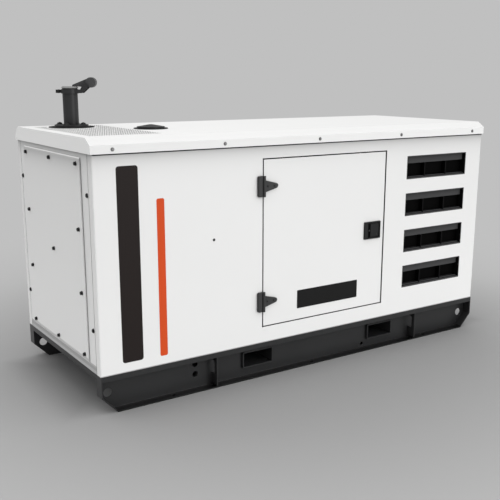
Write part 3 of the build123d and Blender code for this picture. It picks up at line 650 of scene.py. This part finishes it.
def addFasteners(name, places, size, material, body):
    # places is a list of (point, facing) in metres
    mesh = bpy.data.meshes.new(name + "Points")
    mesh.from_pydata([point for point, facing in places], [], [])
    attribute = mesh.attributes.new("facing", "FLOAT_VECTOR", "POINT")
    for item, (point, facing) in zip(attribute.data, places):
        item.vector = facing
    values = {
        "Washer Radius": size["washer"], "Washer Height": size["washerHeight"],
        "Head Radius": size["head"], "Head Height": size["headHeight"],
        "Crown Radius": size["crown"], "Crown Height": size["crownHeight"],
        "Head Sides": size["sides"], "Material": material,
    }
    return bakeTree(name, fastenerTree, values, mesh, body)


def sidePlaces(spots, face, sides=(-1, 1)):
    # the same (x, z) spots on the front and the rear, at that distance from the middle
    return [((x, out * face, z), (0, out, 0)) for out in sides for x, z in spots]


# bolts of the end covers and screws of the end frames
coverBolt = {"washer": 0.0095, "washerHeight": 0.0016, "head": 0.0080, "headHeight": 0.0066,
             "crown": 0.0066, "crownHeight": 0.0012, "sides": 6,
             "spots": [(side * 0.308, z) for side in (-1, 1) for z in (0.2335, 0.5035, 0.774, 1.044)]
             + [(0.0, 0.2335), (0.0, 0.640), (0.0, 1.044)]}
frameScrew = {"washer": 0.0102, "washerHeight": 0.0016, "head": 0.0084, "headHeight": 0.0032,
              "crown": 0.0062, "crownHeight": 0.0012, "sides": 20,
              "spots": [(side * 0.395, z) for side in (-1, 1) for z in (0.360, 0.924)]}
for label, out in (("left", -1), ("right", 1)):
    for part, kind, size in (("cover", "CoverBolts", coverBolt), ("frame", "FrameScrews", frameScrew)):
        low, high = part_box(f"{label}_end_{part}")
        face = high[0] if out > 0 else low[0]
        addFasteners(label + kind, [((face, y, z), (out, 0, 0)) for y, z in size["spots"]],
                     size, boltFinish, "canopy")

# screws along the roof's folded eave
eaveScrew = {"washer": 0.0080, "washerHeight": 0.0012, "head": 0.0060, "headHeight": 0.0020,
             "crown": 0.0038, "crownHeight": 0.0014, "sides": 20,
             "spots": [(x, 1.107) for x in (-1.036, -0.516, 0.002, 0.520, 1.040)]}
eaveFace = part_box("roof")[1][1]
addFasteners("eaveScrews", sidePlaces(eaveScrew["spots"], eaveFace), eaveScrew, zincFinish, "canopy")

# a small plug in each left panel
panelPlug = {"washer": 0.0062, "washerHeight": 0.0010, "head": 0.0050, "headHeight": 0.0010,
             "crown": 0.0036, "crownHeight": 0.0008, "sides": 20, "spots": [(-0.573, 0.692)]}
panelFace = abs(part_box("front_left_panel")[0][1])
addFasteners("panelPlugs", sidePlaces(panelPlug["spots"], panelFace), panelPlug, boltFinish, "canopy")

# stack flange studs with their nuts
stack = {"x": -0.9275, "y": 0.250, "rim": 1.3315, "leverTurn": -34.0, "flangeTop": 1.165,
         "boltCircle": 0.059, "boltTurn": 45.0, "bolts": 4}
flangeNut = {"washer": 0.0170, "washerHeight": 0.0024, "head": 0.0125, "headHeight": 0.0048,
             "crown": 0.0105, "crownHeight": 0.0012, "sides": 6}
studEnd = {"washer": 0.0060, "washerHeight": 0.0092, "head": 0.0054, "headHeight": 0.0010,
           "crown": 0.0044, "crownHeight": 0.0008, "sides": 16}
studs = []
for index in range(stack["bolts"]):
    angle = math.radians(stack["boltTurn"] + 360.0 * index / stack["bolts"])
    studs.append(((stack["x"] + stack["boltCircle"] * math.cos(angle),
                   stack["y"] + stack["boltCircle"] * math.sin(angle), stack["flangeTop"]), (0, 0, 1)))
addFasteners("flangeNuts", studs, flangeNut, finish["exhaust_steel"], "canopy")
addFasteners("flangeStuds", studs, studEnd, boltFinish, "canopy")

# hinge screws, on the tongues
tongueScrew = {"washer": 0.0052, "washerHeight": 0.0006, "head": 0.0046, "headHeight": 0.0008,
               "crown": 0.0026, "crownHeight": 0.0008, "sides": 20, "face": 0.4585,
               "spots": [(x, z) for z in (0.370, 0.908) for x in (-0.2926, -0.2573)]}
for label, out, body in (("front", -1, "front_door"), ("rear", 1, "canopy")):
    addFasteners(label + "HingeScrews", sidePlaces(tongueScrew["spots"], tongueScrew["face"], (out,)),
                 tongueScrew, boltFinish, body)

# the bolt through the rain cap's clamp lugs, with its nut behind
clampBolt = {"washer": 0.0085, "washerHeight": 0.0014, "head": 0.0068, "headHeight": 0.0044,
             "crown": 0.0056, "crownHeight": 0.0010, "sides": 6, "out": -0.0525, "below": 0.014, "half": 0.007}
leverTurn = math.radians(stack["leverTurn"])
outward = Vector((math.cos(leverTurn), math.sin(leverTurn), 0.0))
across = Vector((math.sin(leverTurn), -math.cos(leverTurn), 0.0))
lugMiddle = Vector((stack["x"], stack["y"], stack["rim"] - clampBolt["below"])) + outward * clampBolt["out"]
addFasteners("clampBolt", [(tuple(lugMiddle + across * side * clampBolt["half"]), tuple(across * side))
                           for side in (-1, 1)], clampBolt, boltFinish, "canopy")

# key plug and rivet of the latch
keyPlug = {"washer": 0.0044, "washerHeight": 0.0004, "head": 0.0036, "headHeight": 0.0006,
           "crown": 0.0028, "crownHeight": 0.0004, "sides": 20, "spots": [(0.325, 0.639)], "face": 0.4585}
paddleRivet = {"washer": 0.0042, "washerHeight": 0.0004, "head": 0.0034, "headHeight": 0.0006,
               "crown": 0.0020, "crownHeight": 0.0005, "sides": 16, "spots": [(0.375, 0.6155)], "face": 0.4565}
for label, out, door, paddle in (("front", -1, "front_door", "latch_paddle"), ("rear", 1, "canopy", "canopy")):
    addFasteners(label + "KeyPlug", sidePlaces(keyPlug["spots"], keyPlug["face"], (out,)),
                 keyPlug, finish["hinge_black"], door)
    addFasteners(label + "PaddleRivet", sidePlaces(paddleRivet["spots"], paddleRivet["face"], (out,)),
                 paddleRivet, boltFinish, paddle)
print("fasteners placed")


# perforated sheet over the roof's outlet

def makePerforatedTree():
    tree, start, end = newGeometryTree("perforatedSheet", [
        ("Length", "NodeSocketFloat"), ("Width", "NodeSocketFloat"), ("Thickness", "NodeSocketFloat"),
        ("Centre", "NodeSocketVector"), ("Columns", "NodeSocketInt"), ("Rows", "NodeSocketInt"),
        ("Run", "NodeSocketFloat"), ("Rise", "NodeSocketFloat"), ("Half Step", "NodeSocketVector"),
        ("Hole Radius", "NodeSocketFloat"), ("Hole Sides", "NodeSocketInt"),
        ("Pipe Centre", "NodeSocketVector"), ("Pipe Radius", "NodeSocketFloat"), ("Keep Clear", "NodeSocketFloat"),
        ("Material", "NodeSocketMaterial"), ("Edge Material", "NodeSocketMaterial"),
    ])
    link = tree.links.new
    get = start.outputs
    pipeSides, weldGap = 48, 0.00005

    def moved(geometry, offset):
        place = addNode(tree, "GeometryNodeTransform")
        link(geometry, place.inputs["Geometry"])
        link(offset, place.inputs["Translation"])
        return place.outputs[0]

    grid = addNode(tree, "GeometryNodeMeshGrid")
    for label, source in (("Size X", "Run"), ("Size Y", "Rise"), ("Vertices X", "Columns"), ("Vertices Y", "Rows")):
        link(get[source], grid.inputs[label])
    back = setInputs(addNode(tree, "ShaderNodeVectorMath", operation="SCALE"), Scale=-1.0)
    link(get["Half Step"], back.inputs[0])
    lattice = addNode(tree, "GeometryNodeJoinGeometry")
    link(moved(grid.outputs["Mesh"], get["Half Step"]), lattice.inputs[0])
    link(moved(grid.outputs["Mesh"], back.outputs[0]), lattice.inputs[0])
    points = moved(lattice.outputs[0], get["Centre"])
    spot = addNode(tree, "GeometryNodeInputPosition")
    gap = addNode(tree, "ShaderNodeVectorMath", operation="DISTANCE")
    link(spot.outputs[0], gap.inputs[0])
    link(get["Pipe Centre"], gap.inputs[1])
    near = mathNode(tree, "LESS_THAN", gap.outputs["Value"], get["Keep Clear"])
    drop = addNode(tree, "GeometryNodeDeleteGeometry", domain="POINT")
    link(points, drop.inputs["Geometry"])
    link(near, drop.inputs["Selection"])
    hole = addNode(tree, "GeometryNodeCurvePrimitiveCircle")
    link(get["Hole Radius"], hole.inputs["Radius"])
    link(get["Hole Sides"], hole.inputs["Resolution"])
    onPoints = addNode(tree, "GeometryNodeInstanceOnPoints")
    link(drop.outputs[0], onPoints.inputs["Points"])
    link(hole.outputs["Curve"], onPoints.inputs["Instance"])
    border = addNode(tree, "GeometryNodeCurvePrimitiveQuadrilateral", mode="RECTANGLE")
    link(get["Length"], border.inputs["Width"])
    link(get["Width"], border.inputs["Height"])
    pipeHole = setInputs(addNode(tree, "GeometryNodeCurvePrimitiveCircle"), Resolution=pipeSides)
    link(get["Pipe Radius"], pipeHole.inputs["Radius"])
    real = addNode(tree, "GeometryNodeRealizeInstances")
    link(onPoints.outputs[0], real.inputs[0])
    outlines = addNode(tree, "GeometryNodeJoinGeometry")
    link(real.outputs[0], outlines.inputs[0])
    link(moved(border.outputs["Curve"], get["Centre"]), outlines.inputs[0])
    link(moved(pipeHole.outputs["Curve"], get["Pipe Centre"]), outlines.inputs[0])
    fill = addNode(tree, "GeometryNodeFillCurve")
    link(outlines.outputs[0], fill.inputs["Curve"])
    # Fill Curve works on the XY plane, so the sheet is lifted to its height afterwards
    height = addNode(tree, "ShaderNodeSeparateXYZ")
    link(get["Centre"], height.inputs[0])
    lift = addNode(tree, "ShaderNodeCombineXYZ")
    link(mathNode(tree, "SUBTRACT", height.outputs["Z"], get["Thickness"]), lift.inputs["Z"])
    raised = moved(fill.outputs[0], lift.outputs[0])
    extrude = setInputs(addNode(tree, "GeometryNodeExtrudeMesh", mode="FACES"), Individual=False)
    link(raised, extrude.inputs["Mesh"])
    link(get["Thickness"], extrude.inputs["Offset Scale"])
    walls = setInputs(addNode(tree, "GeometryNodeStoreNamedAttribute", data_type="BOOLEAN", domain="FACE"),
                      Name="punched")
    link(extrude.outputs["Mesh"], walls.inputs["Geometry"])
    link(extrude.outputs["Side"], walls.inputs["Value"])
    flip = addNode(tree, "GeometryNodeFlipFaces")
    link(raised, flip.inputs["Mesh"])
    both = addNode(tree, "GeometryNodeJoinGeometry")
    link(walls.outputs[0], both.inputs[0])
    link(flip.outputs["Mesh"], both.inputs[0])
    weld = setInputs(addNode(tree, "GeometryNodeMergeByDistance"), Distance=weldGap)
    link(both.outputs[0], weld.inputs["Geometry"])
    solid = addNode(tree, "GeometryNodeRealizeInstances")
    link(weld.outputs[0], solid.inputs[0])
    paint = addNode(tree, "GeometryNodeSetMaterial")
    link(solid.outputs[0], paint.inputs["Geometry"])
    link(get["Material"], paint.inputs["Material"])
    punched = setInputs(addNode(tree, "GeometryNodeInputNamedAttribute", data_type="BOOLEAN"), Name="punched")
    edgePaint = addNode(tree, "GeometryNodeSetMaterial")
    link(paint.outputs[0], edgePaint.inputs["Geometry"])
    link(punched.outputs["Attribute"], edgePaint.inputs["Selection"])
    link(get["Edge Material"], edgePaint.inputs["Material"])
    link(edgePaint.outputs[0], end.inputs[0])
    return tree


outlet = {"pitch": 0.0105, "rowStep": 0.0121, "holeRadius": 0.0043, "holeSides": 10, "edge": 0.010,
          "pipeRadius": 0.047, "keepClear": 0.116}
low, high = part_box("roof_grille")
outletLength, outletWidth = high[0] - low[0], high[1] - low[1]
columns = int((outletLength - 2 * outlet["edge"] - outlet["pitch"] / 2) / outlet["pitch"]) + 1
rows = int((outletWidth - 2 * outlet["edge"] - outlet["rowStep"]) / (2 * outlet["rowStep"])) + 1
perforated = bakeTree("roofOutletSheet", makePerforatedTree(), {
    "Length": outletLength, "Width": outletWidth, "Thickness": high[2] - low[2],
    "Centre": ((low[0] + high[0]) / 2, (low[1] + high[1]) / 2, high[2]),
    "Columns": columns, "Rows": rows, "Run": (columns - 1) * outlet["pitch"],
    "Rise": (rows - 1) * 2 * outlet["rowStep"], "Half Step": (outlet["pitch"] / 4, outlet["rowStep"] / 2, 0.0),
    "Hole Radius": outlet["holeRadius"], "Hole Sides": outlet["holeSides"],
    "Pipe Centre": (stack["x"], stack["y"], high[2]), "Pipe Radius": outlet["pipeRadius"],
    "Keep Clear": outlet["keepClear"], "Material": roofFinish, "Edge Material": holeFinish,
}, bpy.data.meshes.new("outletSeed"), "canopy", ("roof_grille",))
print("outlet sheet:", len(perforated.data.polygons), "faces")


# plain film bands and plates, and the dark bead of painted shade under the eave

def prismMesh(name, pairs, material):
    # a closed solid between each pair of like outlines
    mesh = bpy.data.meshes.new(name)
    bm = bmesh.new()
    for pair in pairs:
        first, second = ([bm.verts.new(point) for point in outline] for outline in pair)
        bm.faces.new(first)
        bm.faces.new(list(reversed(second)))
        for index in range(len(first)):
            following = (index + 1) % len(first)
            bm.faces.new((first[index], second[index], second[following], first[following]))
    bmesh.ops.recalc_face_normals(bm, faces=bm.faces)
    bm.to_mesh(mesh)
    bm.free()
    mesh.materials.append(material)
    return mesh


def addFilm(name, spec, out, wall, material, body):
    # a thin plate with round corners on a side wall; out is -1 for the door side
    radius, cornerSteps = spec["corner"], 6
    left, right = spec["x0"] + radius, spec["x1"] - radius
    bottom, top = spec["z0"] + radius, spec["z1"] - radius
    corners = []
    for quarter, (cx, cz) in enumerate(((right, top), (left, top), (left, bottom), (right, bottom))):
        for step in range(cornerSteps + 1):
            angle = math.radians(90 * (quarter + step / cornerSteps))
            corners.append((cx + radius * math.cos(angle), cz + radius * math.sin(angle)))
    faces = [[(x, out * y, z) for x, z in corners] for y in (wall + spec["thickness"], wall)]
    addPiece(name, prismMesh(name, [faces], material), body)


darkBand = {"x0": -1.024, "x1": -0.928, "z0": 0.212, "z1": 1.039, "corner": 0.012, "thickness": 0.0004}
warmBand = {"x0": -0.848, "x1": -0.812, "z0": 0.210, "z1": 0.896, "corner": 0.008, "thickness": 0.0004}
doorPlate = {"x0": -0.1145, "x1": 0.261, "z0": 0.3045, "z1": 0.394, "corner": 0.004, "thickness": 0.0010}
for label, out, door in (("front", -1, "front_door"), ("rear", 1, "canopy")):
    addFilm(label + "DarkBand", darkBand, out, panelFace, darkFilm, "canopy")
    addFilm(label + "WarmBand", warmBand, out, panelFace, warmFilm, "canopy")
    addFilm(label + "DoorPlate", doorPlate, out, panelFace, plateFilm, door)
print("film bands and plates placed")

# a dark bead in the rubber finish, set in the joint under the roof's eave along both long sides: painted shade where
# the joint's shadow falls
eaveShadeBead = {"halfLength": 1.120, "halfWidth": 0.450,
            "profile": [(0.0002, 1.0940), (0.0038, 1.0940), (0.0038, 1.0872), (0.0030, 1.0858), (0.0014, 1.0852),
                        (0.0002, 1.0856)]}
beads = [[[(side * eaveShadeBead["halfLength"], out * (eaveShadeBead["halfWidth"] + step), z) for step, z in eaveShadeBead["profile"]]
          for side in (-1, 1)] for out in (-1, 1)]
addPiece("eaveShadeBead", prismMesh("eaveShadeBead", beads, finish["gasket_rubber"]), "canopy")
print("eave seal placed")


# camera at the photograph's viewing angle
shot = {"place": (-2.30792, -3.35435, 1.38577), "yaw": 34.2295, "pitch": -13.4261, "roll": 0.2025,
        "focalPixels": 788.161, "widthPixels": 500, "sensor": 36.0, "shiftX": -0.01918, "shiftY": 0.03006,
        "farClip": 200.0}
yaw, pitch, roll = (math.radians(shot[key]) for key in ("yaw", "pitch", "roll"))
ahead = Vector((math.sin(yaw) * math.cos(pitch), math.cos(yaw) * math.cos(pitch), math.sin(pitch)))
level = Vector((math.cos(yaw), -math.sin(yaw), 0.0))
upright = level.cross(ahead)
right = level * math.cos(roll) + upright * math.sin(roll)
top = upright * math.cos(roll) - level * math.sin(roll)
cameraData = bpy.data.cameras.new("photoCamera")
cameraData.sensor_width = shot["sensor"]
cameraData.lens = shot["focalPixels"] / shot["widthPixels"] * shot["sensor"]
cameraData.shift_x = shot["shiftX"]
cameraData.shift_y = shot["shiftY"]
cameraData.clip_end = shot["farClip"]
camera = bpy.data.objects.new("photoCamera", cameraData)
scene.collection.objects.link(camera)
turned = Matrix((right, top, -ahead)).transposed().to_4x4()
camera.matrix_world = Matrix.Translation(shot["place"]) @ turned
scene.camera = camera


# floor, light and world
studio = {
    "floorHalf": 60.0, "floorNear": 0.288, "floorFar": 0.385, "fadeStart": 0.85, "fadeEnd": 2.3,
    "floorUnder": 0.21, "baseHalf": (1.125, 0.27), "underStart": -0.06, "underEnd": 0.20,
    "flangeTone": 0.01, "flangeMiddle": (0.0, 0.426, 0.0), "flangeHalf": (1.03, 0.018, 0.1),
    "background": 0.527, "mergeStart": 1.7, "mergeEnd": 3.4, "roughness": 0.85, "sky": 1.275,
}
lamps = {
    "frontPanel": {"place": (2.2, -7.6, 1.2), "target": (0.1, -0.45, 0.55), "size": (5.0, 2.0), "power": 178.0},
    "topPanel": {"place": (-1.3, 0.0, 3.2), "target": (-1.1, 0.0, 1.1), "size": (2.0, 1.6), "power": 5.0},
}


def makeFloor():
    mesh = bpy.data.meshes.new("studioFloor")
    half = studio["floorHalf"]
    mesh.from_pydata([(-half, -half, 0), (half, -half, 0), (half, half, 0), (-half, half, 0)], [], [(0, 1, 2, 3)])
    floor = bpy.data.objects.new("studioFloor", mesh)
    scene.collection.objects.link(floor)
    material, tree, shader = startFinish("studioFloor")
    coords = addNode(tree, "ShaderNodeTexCoord")
    distance = addNode(tree, "ShaderNodeVectorMath", operation="LENGTH")
    tree.links.new(coords.outputs["Object"], distance.inputs[0])
    # the floor is darker near the object and lighter further out: a painted shadow around it
    fade = smoothRamp(tree, distance.outputs["Value"], studio["fadeStart"], studio["fadeEnd"])
    shade = mixColours(tree, fade, grey(studio["floorNear"]), grey(studio["floorFar"]))
    # painted shadow: under the base the floor is darker, with a soft edge
    place = addNode(tree, "ShaderNodeSeparateXYZ")
    tree.links.new(coords.outputs["Object"], place.inputs[0])
    beyond = [mathNode(tree, "SUBTRACT", mathNode(tree, "ABSOLUTE", place.outputs[axis]), edge)
              for axis, edge in zip("XY", studio["baseHalf"])]
    clear = smoothRamp(tree, mathNode(tree, "MAXIMUM", *beyond), studio["underStart"], studio["underEnd"])
    shade = mixColours(tree, clear, grey(studio["floorUnder"]), shade)
    # and a painted shadow, nearly black, below the flanges, where only the anchor holes show it
    flange = useGroup(tree, zoneGroup, Middle=studio["flangeMiddle"], Half_Size=studio["flangeHalf"])
    shade = mixColours(tree, flange.outputs["Mask"], shade, grey(studio["flangeTone"]))
    # far away the floor passes into the background's own tone, so no horizon shows
    merge = smoothRamp(tree, distance.outputs["Value"], studio["mergeStart"], studio["mergeEnd"])
    tree.links.new(mixColours(tree, merge, shade, grey(0)), shader.inputs["Base Color"])
    path = addNode(tree, "ShaderNodeLightPath")
    seen = mathNode(tree, "MAXIMUM", path.outputs["Is Camera Ray"], path.outputs["Is Glossy Ray"])
    glow = mixColours(tree, mathNode(tree, "MULTIPLY", merge, seen), grey(0), grey(studio["background"]))
    tree.links.new(glow, shader.inputs["Emission Color"])
    setInputs(shader, Emission_Strength=1.0, Roughness=studio["roughness"], Specular_IOR_Level=0.0)
    mesh.materials.append(material)


def makeWorld():
    world = bpy.data.worlds.new("studioWorld")
    scene.world = world
    world.use_nodes = True
    tree = world.node_tree
    tree.nodes.clear()
    output = addNode(tree, "ShaderNodeOutputWorld")
    sky = setInputs(addNode(tree, "ShaderNodeBackground"), Color=grey(1), Strength=studio["sky"])
    wall = setInputs(addNode(tree, "ShaderNodeBackground"), Color=grey(studio["background"]), Strength=1.0)
    path = addNode(tree, "ShaderNodeLightPath")
    seen = mathNode(tree, "MAXIMUM", path.outputs["Is Camera Ray"], path.outputs["Is Transmission Ray"])
    seen = mathNode(tree, "MAXIMUM", seen, path.outputs["Is Glossy Ray"])
    mix = addNode(tree, "ShaderNodeMixShader")
    tree.links.new(seen, mix.inputs[0])
    tree.links.new(sky.outputs[0], mix.inputs[1])
    tree.links.new(wall.outputs[0], mix.inputs[2])
    tree.links.new(mix.outputs[0], output.inputs["Surface"])


def addPanelLight(name, spec):
    data = bpy.data.lights.new(name, "AREA")
    data.shape = "RECTANGLE"
    data.size, data.size_y = spec["size"]
    data.energy = spec["power"]
    lamp = bpy.data.objects.new(name, data)
    lamp.location = spec["place"]
    aim = Vector(spec["target"]) - Vector(spec["place"])
    lamp.rotation_euler = aim.to_track_quat("-Z", "Y").to_euler()
    lamp.visible_camera = False
    scene.collection.objects.link(lamp)


makeFloor()
makeWorld()
for name, spec in lamps.items():
    addPanelLight(name, spec)
print("studio set")
